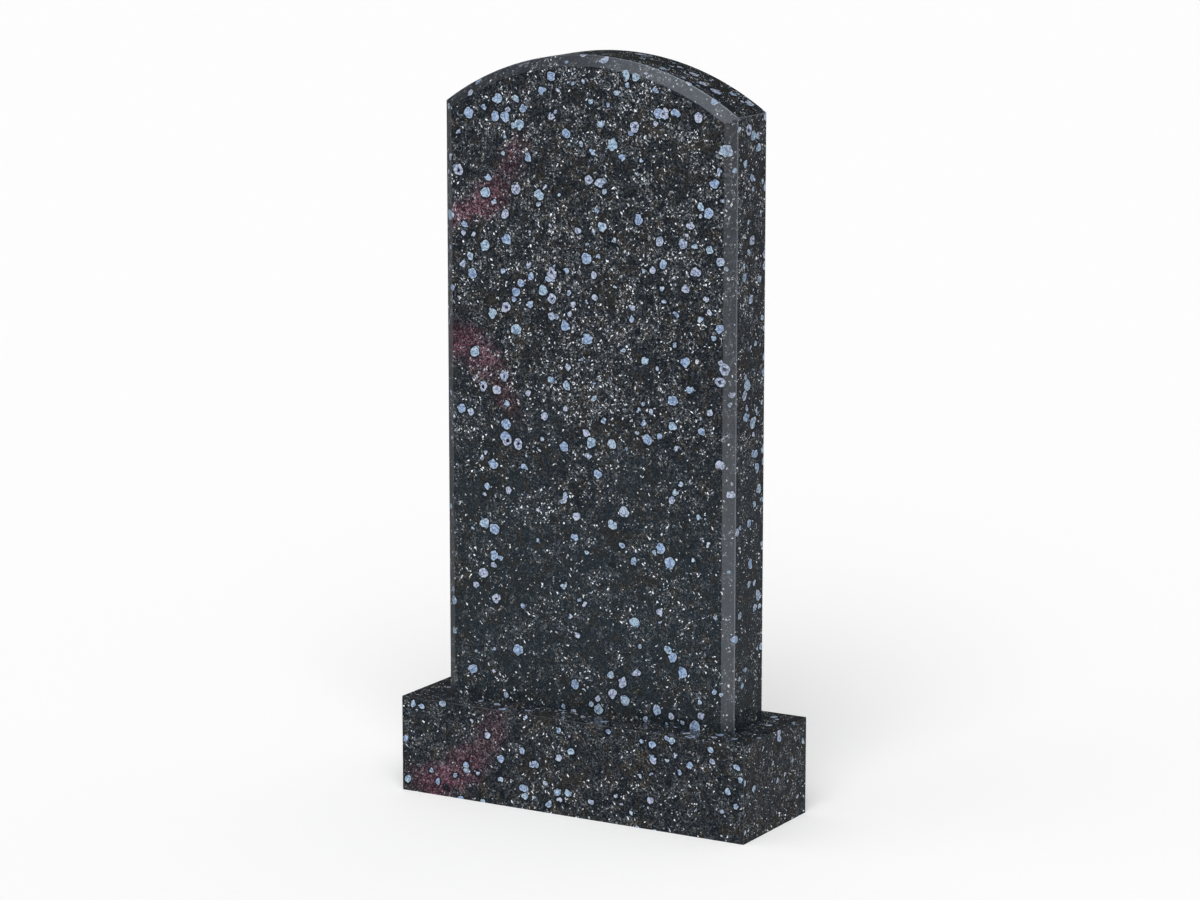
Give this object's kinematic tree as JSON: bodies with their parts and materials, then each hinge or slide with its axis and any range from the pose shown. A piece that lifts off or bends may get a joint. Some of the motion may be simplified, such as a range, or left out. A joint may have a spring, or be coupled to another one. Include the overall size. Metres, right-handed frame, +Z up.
{
  "type": "headstone",
  "caption": "Polished granite headstone: a tall arched slab with a broad chamfer round its blank front face, standing on a plain rectangular plinth.",
  "frame": {"origin": "middle of the plinth's underside", "axes": "+Z up, from the plinth's underside to the crown of the arch; +X along the width, to the right of a person who faces the stone; the front face looks along -Y"},
  "size_m": [0.6, 0.2, 1.15],
  "materials": {
    "polished_granite_stele": "polished dark blue-black granite with pale blue grains and white flecks; the front chamfer is honed",
    "polished_granite_plinth": "polished dark blue-black granite with pale blue grains and white flecks; the underside is sawn"
  },
  "bodies": {
    "root": {"stele": "polished_granite_stele", "plinth": "polished_granite_plinth"}
  },
  "joints": []
}
